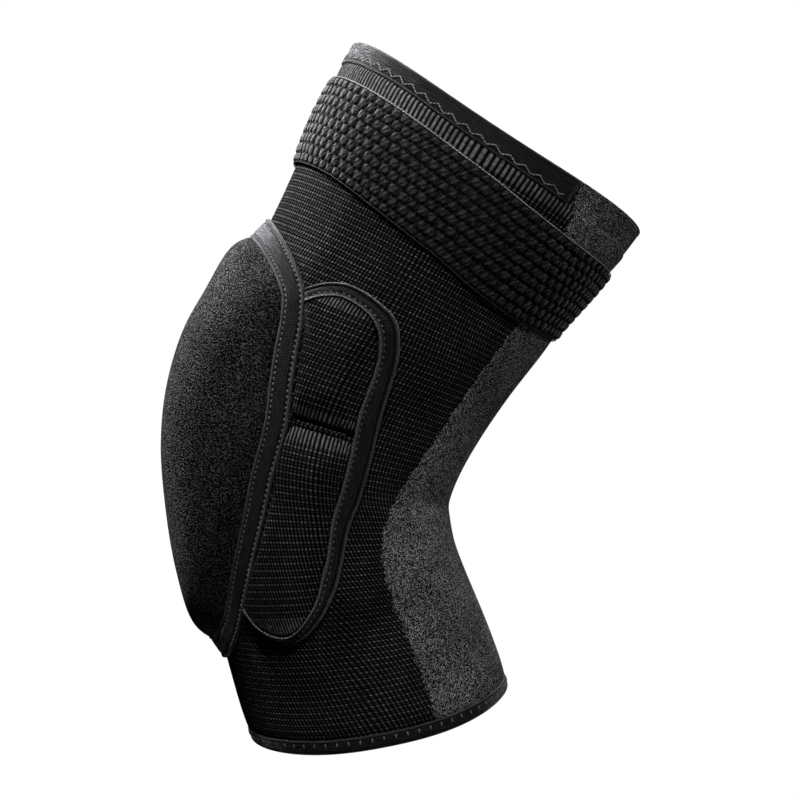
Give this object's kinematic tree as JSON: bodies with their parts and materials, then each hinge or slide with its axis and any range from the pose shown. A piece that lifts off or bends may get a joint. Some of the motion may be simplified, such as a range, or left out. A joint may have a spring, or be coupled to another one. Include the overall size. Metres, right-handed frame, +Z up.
{
  "type": "padded knee sleeve",
  "caption": "Knitted knee sleeve in its bent, worn form, with a thick suede-grain kneecap pad, padded side pockets, a bobble-knit thigh strap and taped rims.",
  "frame": {"origin": "centre of the knee, in the sleeve's plane of symmetry, where the worn sleeve sits", "axes": "+Z up, -X to the front of the knee, -Y to the wearer's left"},
  "size_m": [0.2089, 0.1428, 0.3],
  "materials": {
    "black_knit": "black rib knit, matt",
    "grey_knit": "dark grey heathered knit, matt",
    "strap_knit": "black elastic bobble knit, slight sheen",
    "pad_suede": "black fine-grained suede",
    "binding_tape": "black folded binding tape, slight sheen"
  },
  "bodies": {
    "root": {"front_panel": "black_knit", "rear_panel": "grey_knit", "top_binding": "binding_tape", "bottom_binding": "binding_tape", "thigh_strap": "strap_knit", "knee_pad": "pad_suede", "knee_pad_binding": "binding_tape", "left_upper_pad": "black_knit", "left_lower_pad": "black_knit", "left_pad_binding": "binding_tape", "right_upper_pad": "black_knit", "right_lower_pad": "black_knit", "right_pad_binding": "binding_tape"}
  },
  "joints": []
}
